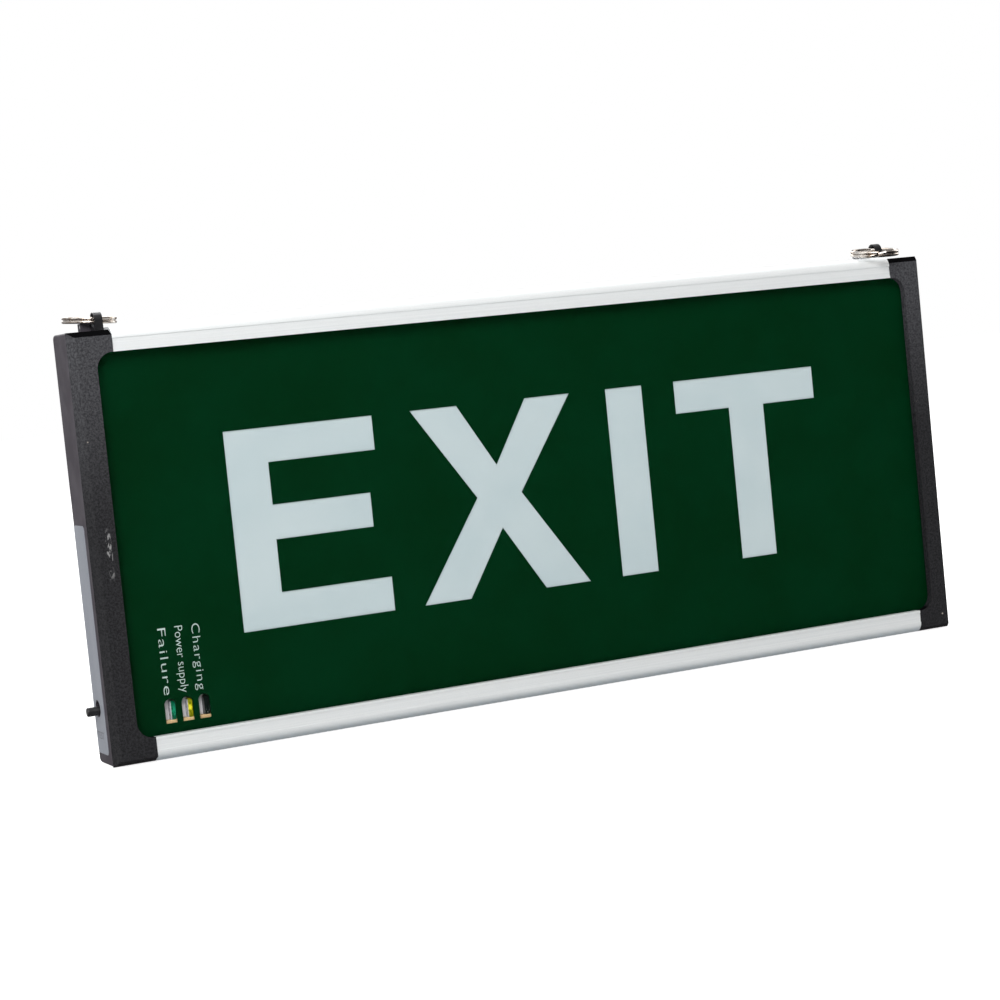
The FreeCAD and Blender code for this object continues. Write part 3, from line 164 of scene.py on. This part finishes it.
class Surface:
    """One node material, built up from small patterns in the piece's own coordinates."""

    def __init__(self, name, **fixed):
        self.material = bpy.data.materials.new(name)
        self.material.use_nodes = True
        self.tree = self.material.node_tree
        self.shader = self.tree.nodes["Principled BSDF"]
        self.coords = self.tree.nodes.new("ShaderNodeTexCoord").outputs["Object"]
        self.set(**fixed)

    def set(self, **fixed):
        for name, value in fixed.items():
            if isinstance(value, tuple) and len(value) == 3:
                value = (*value, 1)
            self.shader.inputs[name.replace("_", " ")].default_value = value

    def link(self, source, socket):
        self.tree.links.new(source, self.shader.inputs[socket])

    def node(self, kind, **settings):
        made = self.tree.nodes.new(kind)
        for name, value in settings.items():
            setattr(made, name, value)
        return made

    def feed(self, socket, value):
        """Links a socket to another's output, or sets it to a number or colour."""
        if isinstance(value, bpy.types.NodeSocket):
            self.tree.links.new(value, socket)
        else:
            if isinstance(value, tuple) and len(value) == 3 and socket.type == "RGBA":
                value = (*value, 1)
            socket.default_value = value

    def stretched(self, scale):
        """The piece's coordinates, scaled along each axis."""
        made = self.node("ShaderNodeVectorMath", operation="MULTIPLY")
        self.feed(made.inputs[0], self.coords)
        made.inputs[1].default_value = scale
        return made.outputs["Vector"]

    def noise(self, scale, detail=2.0, roughness=0.5, stretch=None, distortion=0.0):
        """Noise of this many features a metre, from 0 to 1."""
        made = self.node("ShaderNodeTexNoise")
        self.feed(made.inputs["Vector"], self.coords if stretch is None else self.stretched(stretch))
        made.inputs["Scale"].default_value = scale
        made.inputs["Detail"].default_value = detail
        made.inputs["Roughness"].default_value = roughness
        made.inputs["Distortion"].default_value = distortion
        return made.outputs["Fac"]

    def cells(self, scale):
        """Distance to the nearest of a scatter of points, this many a metre."""
        made = self.node("ShaderNodeTexVoronoi")
        self.feed(made.inputs["Vector"], self.coords)
        made.inputs["Scale"].default_value = scale
        return made.outputs["Distance"]

    def step(self, value, start, end, low=0.0, high=1.0):
        """Smooth change from low to high as a value goes from start to end."""
        made = self.node("ShaderNodeMapRange", interpolation_type="SMOOTHSTEP")
        self.feed(made.inputs["Value"], value)
        made.inputs["From Min"].default_value = start
        made.inputs["From Max"].default_value = end
        made.inputs["To Min"].default_value = low
        made.inputs["To Max"].default_value = high
        return made.outputs["Result"]

    def math(self, operation, a, b=0.0):
        made = self.node("ShaderNodeMath", operation=operation)
        self.feed(made.inputs[0], a)
        self.feed(made.inputs[1], b)
        return made.outputs["Value"]

    def blend(self, share, a, b, kind="MIX"):
        made = self.node("ShaderNodeMix", data_type="RGBA", blend_type=kind)
        self.feed(made.inputs["Factor"], share)
        self.feed(made.inputs[6], a)
        self.feed(made.inputs[7], b)
        return made.outputs[2]

    def place(self, axis):
        """The piece's own x, y or z, in metres."""
        made = self.node("ShaderNodeSeparateXYZ")
        self.feed(made.inputs[0], self.coords)
        return made.outputs["XYZ".index(axis)]

    def upward(self):
        """How far the surface faces up, from -1 to 1."""
        made = self.node("ShaderNodeSeparateXYZ")
        self.feed(made.inputs[0], self.node("ShaderNodeNewGeometry").outputs["Normal"])
        return made.outputs[2]

    def bump(self, height, distance, strength=1.0):
        made = self.node("ShaderNodeBump")
        made.inputs["Strength"].default_value = strength
        made.inputs["Distance"].default_value = distance
        self.feed(made.inputs["Height"], height)
        self.link(made.outputs["Normal"], "Normal")


def shaded(colour, factor):
    return tuple(channel * factor for channel in colour)


def scuffs(s):
    """Short upright scratches on the left cap, beside the opening at mid-height."""
    cap_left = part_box("left_end_cap")[0].x
    along, up = s.place("X"), s.place("Z")
    start, end = cap_left + 4.9 * MM, cap_left + 7.2 * MM
    low, high = 63 * MM, 83 * MM
    fade_x, fade_z = 0.5 * MM, 5 * MM
    share = s.math("MULTIPLY", s.step(along, start, start + fade_x),
                   s.step(along, end - 0.6 * MM, end, 1.0, 0.0))
    share = s.math("MULTIPLY", share, s.step(up, low, low + fade_z))
    share = s.math("MULTIPLY", share, s.step(up, high - fade_z, high, 1.0, 0.0))
    scratches = s.noise(1.0, 2.0, 0.6, stretch=(1500, 1500, 420))
    return s.math("MULTIPLY", share, s.step(scratches, 0.52, 0.60))


def textured_black():
    """Spark-eroded moulding: mottled charcoal with specks and scuffs, painted shade that darkens it low
    down, and painted shade that turns upward-facing slopes near black.
    """
    s = Surface("textured_black", Metallic=0.0, Specular_IOR_Level=0.12)
    coarse = s.noise(1300, 3.0, 0.6, distortion=0.4)
    fine = s.noise(3000, 2.0, 0.55)
    mottle = s.math("ADD", s.math("MULTIPLY", coarse, 0.65), s.math("MULTIPLY", fine, 0.35))
    colour = s.blend(s.step(mottle, 0.38, 0.62), (0.030, 0.030, 0.034), (0.080, 0.081, 0.088))
    # Painted shade: the colour is scaled down towards the bottom of the caps.
    fade = s.step(s.place("Z"), 0.075, 0.145, 0.24, 0.64)
    colour = s.blend(1.0, colour, s.blend(fade, (0, 0, 0), (1, 1, 1)), "MULTIPLY")
    speck = s.step(s.cells(230), 0.05, 0.11, 1.0, 0.0)
    speck = s.math("MULTIPLY", speck, s.step(s.noise(160, 1.0), 0.60, 0.64))
    colour = s.blend(speck, colour, (0.30, 0.27, 0.24))
    colour = s.blend(s.math("MULTIPLY", scuffs(s), 0.7), colour, (0.24, 0.24, 0.24))
    # Painted shade: faces that point upwards are turned almost black.
    painted_dark_top = s.step(s.upward(), 0.70, 0.85)
    colour = s.blend(painted_dark_top, colour, (0.0025, 0.0025, 0.0028))
    s.link(colour, "Base Color")
    s.link(s.step(s.upward(), 0.5, 0.85, 0.10, 0.0), "Specular IOR Level")
    s.link(s.step(mottle, 0.3, 0.7, 0.62, 0.48), "Roughness")
    s.bump(mottle, 0.00016, 0.8)
    return s.material


def smooth_black():
    """Smooth moulding, slightly warm, with faint flow marks."""
    s = Surface("smooth_black", Metallic=0.0, Specular_IOR_Level=0.15)
    cloud = s.noise(90, 4.0, 0.6)
    grain = s.noise(2600, 2.0, 0.5)
    colour = s.blend(s.step(cloud, 0.3, 0.7), (0.036, 0.031, 0.038), (0.045, 0.040, 0.048))
    colour = s.blend(s.step(grain, 0.62, 0.72, 0.0, 0.35), colour, (0.066, 0.060, 0.070))
    s.link(colour, "Base Color")
    s.link(s.step(cloud, 0.3, 0.7, 0.55, 0.45), "Roughness")
    s.bump(grain, 0.00003, 0.5)
    return s.material


def satin_aluminium():
    """Anodised extrusion: fine die lines along X over a soft matt grain, with painted bluish shade
    where it faces down.
    """
    s = Surface("satin_aluminium", Metallic=0.45, Specular_IOR_Level=0.5)
    lines = s.noise(1.0, 3.0, 0.6, stretch=(9, 2600, 2600))
    grain = s.noise(2400, 2.0, 0.6)
    tone = s.math("ADD", s.math("MULTIPLY", lines, 0.7), s.math("MULTIPLY", grain, 0.3))
    colour = s.blend(s.step(tone, 0.3, 0.7), (0.73, 0.755, 0.76), (0.80, 0.82, 0.82))
    # Painted shade: faces that point downwards are blended towards a darker bluish grey.
    colour = s.blend(s.step(s.upward(), -0.85, -0.1, 1.0, 0.0), colour, (0.43, 0.475, 0.50))
    s.link(colour, "Base Color")
    s.link(s.step(tone, 0.3, 0.7, 0.50, 0.38), "Roughness")
    s.bump(tone, 0.00002, 0.5)
    return s.material


def label_grey():
    """Printed film label with soft streaks from top to bottom."""
    s = Surface("label_grey", Metallic=0.0, Specular_IOR_Level=0.3)
    streaks = s.noise(1.0, 3.0, 0.55, stretch=(0, 520, 16))
    grain = s.noise(1500, 2.0, 0.5)
    colour = s.blend(s.step(streaks, 0.3, 0.7), (0.158, 0.170, 0.194), (0.186, 0.197, 0.221))
    colour = s.blend(s.step(grain, 0.45, 0.75, 0.0, 0.25), colour, (0.228, 0.234, 0.252))
    s.link(colour, "Base Color")
    s.link(s.step(streaks, 0.3, 0.7, 0.42, 0.5), "Roughness")
    s.bump(grain, 0.00002, 0.4)
    return s.material


def clear_panel():
    """Clear acrylic in front of the legend: a faint gloss over whatever is behind it."""
    s = Surface("clear_panel", Metallic=0.0, Specular_IOR_Level=0.5, IOR=1.49)
    s.set(Base_Color=(0.001, 0.0015, 0.0013))
    slant = s.node("ShaderNodeLayerWeight").outputs["Facing"]
    s.link(s.math("ADD", s.math("POWER", slant, 5.0), 0.006), "Alpha")
    s.link(s.step(s.noise(25, 3.0), 0.3, 0.7, 0.05, 0.09), "Roughness")
    return s.material


def dark_green_film():
    """Opaque dark green print."""
    s = Surface("dark_green_film", Metallic=0.0, Specular_IOR_Level=0.02)
    cloud = s.noise(28, 3.0, 0.6)
    grain = s.noise(1800, 2.0, 0.6)
    colour = s.blend(s.step(cloud, 0.3, 0.7), (0.0, 0.0154, 0.0036), (0.0, 0.0180, 0.0050))
    colour = s.blend(s.step(grain, 0.55, 0.8, 0.0, 0.3), colour, (0.0, 0.0215, 0.0066))
    s.link(colour, "Base Color")
    s.set(Roughness=0.6)
    s.bump(grain, 0.00001, 0.4)
    return s.material


def opal_sheet():
    """Opal diffuser seen through the letters."""
    s = Surface("opal_sheet", Metallic=0.0, Specular_IOR_Level=0.25)
    cloud = s.noise(35, 3.0, 0.55)
    grain = s.noise(1600, 2.0, 0.6)
    colour = s.blend(s.step(cloud, 0.3, 0.7), (0.325, 0.390, 0.405), (0.352, 0.412, 0.424))
    colour = s.blend(s.step(grain, 0.5, 0.8, 0.0, 0.25), colour, (0.40, 0.45, 0.462))
    s.link(colour, "Base Color")
    s.set(Roughness=0.5)
    s.bump(grain, 0.00002, 0.4)
    return s.material


def moulded(name, colour, roughness, grain_scale=1800, depth=0.00003, spread=0.14,
            specular=0.4, metallic=0.0):
    """Plain finish of one colour, with soft clouding, grain and uneven gloss."""
    s = Surface(name, Metallic=metallic, Specular_IOR_Level=specular)
    cloud = s.noise(140, 3.0, 0.6)
    grain = s.noise(grain_scale, 2.0, 0.6)
    tone = s.blend(s.step(cloud, 0.3, 0.7), shaded(colour, 1 - spread), shaded(colour, 1 + spread))
    tone = s.blend(s.step(grain, 0.5, 0.8, 0.0, 0.3), tone, shaded(colour, 1 + 2.2 * spread))
    s.link(tone, "Base Color")
    s.link(s.step(cloud, 0.3, 0.7, roughness + 0.06, roughness - 0.06), "Roughness")
    s.bump(grain, depth, 0.5)
    return s.material


def nickel_wire():
    """Nickel-plated spring wire with fine drawing marks and random warm brown patches of painted
    reflection.
    """
    s = Surface("nickel_wire", Metallic=1.0)
    # Painted reflection: random patches of warm dark brown in the base colour.
    painted_warm_reflection = s.noise(420, 3.0, 0.6)
    marks = s.noise(3200, 2.0, 0.6)
    colour = s.blend(s.step(painted_warm_reflection, 0.35, 0.7), (0.60, 0.56, 0.52), (0.36, 0.29, 0.23))
    s.link(colour, "Base Color")
    s.link(s.step(marks, 0.3, 0.7, 0.20, 0.30), "Roughness")
    s.bump(marks, 0.00002, 0.4)
    return s.material


def lens(name, node, tint, core, strength):
    """Indicator lens: a frosted left edge, and a tinted body with a lighter core."""
    low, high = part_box(node)
    s = Surface(name, Metallic=0.0, Specular_IOR_Level=0.4)
    ripple = s.noise(900, 2.0, 0.5)
    middle = (low.z + high.z) / 2
    up = s.place("Z")
    lit = s.math("MULTIPLY", s.step(up, low.z, middle), s.step(up, middle, high.z, 1.0, 0.0))
    lit = s.math("MULTIPLY", lit, s.step(ripple, 0.35, 0.6))
    colour = s.blend(lit, tint, core)
    edge = low.x + 0.12 * (high.x - low.x)
    frosted = s.step(s.place("X"), edge - 0.05 * MM, edge + 0.05 * MM, 1.0, 0.0)
    frost = s.blend(s.step(ripple, 0.3, 0.7), (0.30, 0.30, 0.33), (0.42, 0.42, 0.46))
    s.link(s.blend(frosted, colour, frost), "Base Color")
    s.link(s.step(ripple, 0.3, 0.7, 0.15, 0.3), "Roughness")
    s.link(colour, "Emission Color")
    s.link(s.math("SUBTRACT", strength, s.math("MULTIPLY", frosted, strength)), "Emission Strength")
    return s.material


def unlit_lens():
    """Third lens: almost black, with a few pale flecks towards its foot."""
    low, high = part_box("red_lamp")
    s = Surface("red_lens", Metallic=0.0, Specular_IOR_Level=0.4, Roughness=0.2)
    flecks = s.math("MULTIPLY", s.step(s.noise(2600, 2.0, 0.6), 0.62, 0.68),
                    s.step(s.place("Z"), low.z, (low.z + high.z) / 2, 1.0, 0.0))
    s.link(s.blend(flecks, (0.004, 0.007, 0.006), (0.35, 0.38, 0.36)), "Base Color")
    s.bump(s.noise(900, 2.0, 0.5), 0.00003, 0.4)
    return s.material


def circuit_board(name, colour):
    """Board with a woven or pressed base, faint tracks running one way and a dull face."""
    s = Surface(name, Metallic=0.0, Specular_IOR_Level=0.4)
    fibre = s.noise(1.0, 3.0, 0.6, stretch=(1300, 1300, 1300))
    tracks = s.step(s.noise(1.0, 1.0, 0.3, stretch=(260, 260, 900)), 0.52, 0.56)
    base = s.blend(s.step(fibre, 0.3, 0.7), shaded(colour, 0.85), shaded(colour, 1.15))
    s.link(s.blend(s.math("MULTIPLY", tracks, 0.35), base, shaded(colour, 0.6)), "Base Color")
    s.link(s.step(fibre, 0.3, 0.7, 0.5, 0.4), "Roughness")
    s.bump(fibre, 0.00003, 0.5)
    return s.material


MATERIALS = {
    "textured_black": textured_black(),
    "smooth_black": smooth_black(),
    "label_grey": label_grey(),
    "satin_aluminium": satin_aluminium(),
    "clear_panel": clear_panel(),
    "dark_green_film": dark_green_film(),
    "opal_sheet": opal_sheet(),
    "clear_guide": moulded("clear_guide", (0.72, 0.78, 0.76), 0.15, specular=0.5, spread=0.05),
    "white_sheet": moulded("white_sheet", (0.8, 0.8, 0.78), 0.5, spread=0.04),
    "painted_plate": moulded("painted_plate", (0.36, 0.37, 0.36), 0.5, 900, 0.00006, 0.025),
    "grommet_rubber": moulded("grommet_rubber", (0.016, 0.016, 0.016), 0.65, 1500, 0.00005),
    "white_board": circuit_board("white_board", (0.7, 0.7, 0.68)),
    "lamp_chip": moulded("lamp_chip", (0.8, 0.68, 0.25), 0.3, spread=0.08),
    "tan_board": circuit_board("tan_board", (0.55, 0.38, 0.19)),
    "zinc_steel": moulded("zinc_steel", (0.62, 0.62, 0.64), 0.28, 2600, 0.00003, 0.08, metallic=1.0),
    "green_lens": lens("green_lens", "green_lamp", (0.0, 0.055, 0.024), (0.005, 0.20, 0.10), 0.12),
    "yellow_lens": lens("yellow_lens", "yellow_lamp", (0.10, 0.11, 0.0), (0.55, 0.50, 0.01), 0.12),
    "red_lens": unlit_lens(),
    "white_plastic": moulded("white_plastic", (0.62, 0.61, 0.63), 0.45, spread=0.08),
    "button_black": moulded("button_black", (0.011, 0.011, 0.012), 0.32, spread=0.2),
    "component_black": moulded("component_black", (0.025, 0.025, 0.026), 0.5, spread=0.15),
    "sleeve_blue": moulded("sleeve_blue", (0.03, 0.08, 0.3), 0.25, spread=0.1),
    "lead_red": moulded("lead_red", (0.4, 0.02, 0.02), 0.4, spread=0.1),
    "nickel_wire": nickel_wire(),
}


def dress_nodes():
    """Gives every CAD node the finish that the record names for it."""
    for part in frame["record"]["subparts"]:
        node = frame["nodes"][part["node"]]
        for slot in node.material_slots:
            slot.material = MATERIALS[part["material_slot"]]


# ---------------------------------------------------------------- lettering

def lettering(name, words, height, length, ink, turn, place, spacing=1.0):
    """Flat printed words on the casing; height is that of a capital, length that of the whole."""
    curve = bpy.data.curves.new(name, "FONT")
    curve.body = words
    curve.align_x = "CENTER"
    curve.align_y = "CENTER"
    curve.size = height / CAPITAL_SHARE
    curve.space_character = spacing
    curve.offset = -PRINT_THINNING
    curve.extrude = PRINT_THICK
    made = bpy.data.objects.new(name + "_text", curve)
    bpy.context.scene.collection.objects.link(made)
    bpy.context.view_layer.update()
    mesh = bpy.data.meshes.new_from_object(made)
    bpy.data.objects.remove(made)
    squeeze = length / (max(v.co.x for v in mesh.vertices) - min(v.co.x for v in mesh.vertices))
    mesh.transform(Matrix.Translation(place) @ turn @ Matrix.Diagonal((squeeze, 1, 1, 1)))
    mesh.materials.clear()
    mesh.materials.append(ink)
    piece = bpy.data.objects.new(name, mesh)
    bpy.context.scene.collection.objects.link(piece)
    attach(piece, "casing")


def facing(right, up):
    """Turn that lays text's own x along right and its y along up."""
    right, up = Vector(right), Vector(up)
    return Matrix((right, up, right.cross(up))).transposed().to_4x4()


def make_captions():
    """Small captions above the windows, read downwards."""
    film_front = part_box("legend_film")[0].y
    ink = moulded("caption_ink", (0.33, 0.40, 0.38), 0.5, spread=0.06)
    downwards = facing((0, 0, -1), (1, 0, 0))
    lamps = [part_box(name) for name in ("green_lamp", "yellow_lamp", "red_lamp")]
    captions = (("Failure", 1.1), ("Power supply", 1.0), ("Charging", 1.15))
    for (low, high), (words, spacing) in zip(lamps, captions):
        centre_x = (low.x + high.x) / 2 - CAPTION_SHIFT
        place = (centre_x, film_front - 0.03 * MM, CAPTION_Z)
        lettering("caption_" + words.lower().replace(" ", "_"), words, CAPTION_HEIGHT, CAPTION_LENGTH,
                  ink, downwards, place, spacing)


def make_test_mark():
    """The word under the test button, on the side label."""
    label_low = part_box("side_label")[0]
    button_low, button_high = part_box("test_button")
    ink = moulded("mark_ink", (0.055, 0.055, 0.062), 0.5, spread=0.1)
    upright = facing((0, -1, 0), (0, 0, 1))
    y = (button_low.y + button_high.y) / 2
    lettering("test_mark", "TEST", MARK_HEIGHT, MARK_LENGTH, ink, upright,
              (label_low.x - 0.02 * MM, y, MARK_Z))


# ---------------------------------------------------------------- scene

make_studio()
dress_nodes()
make_captions()
make_test_mark()

bpy.context.view_layer.update()
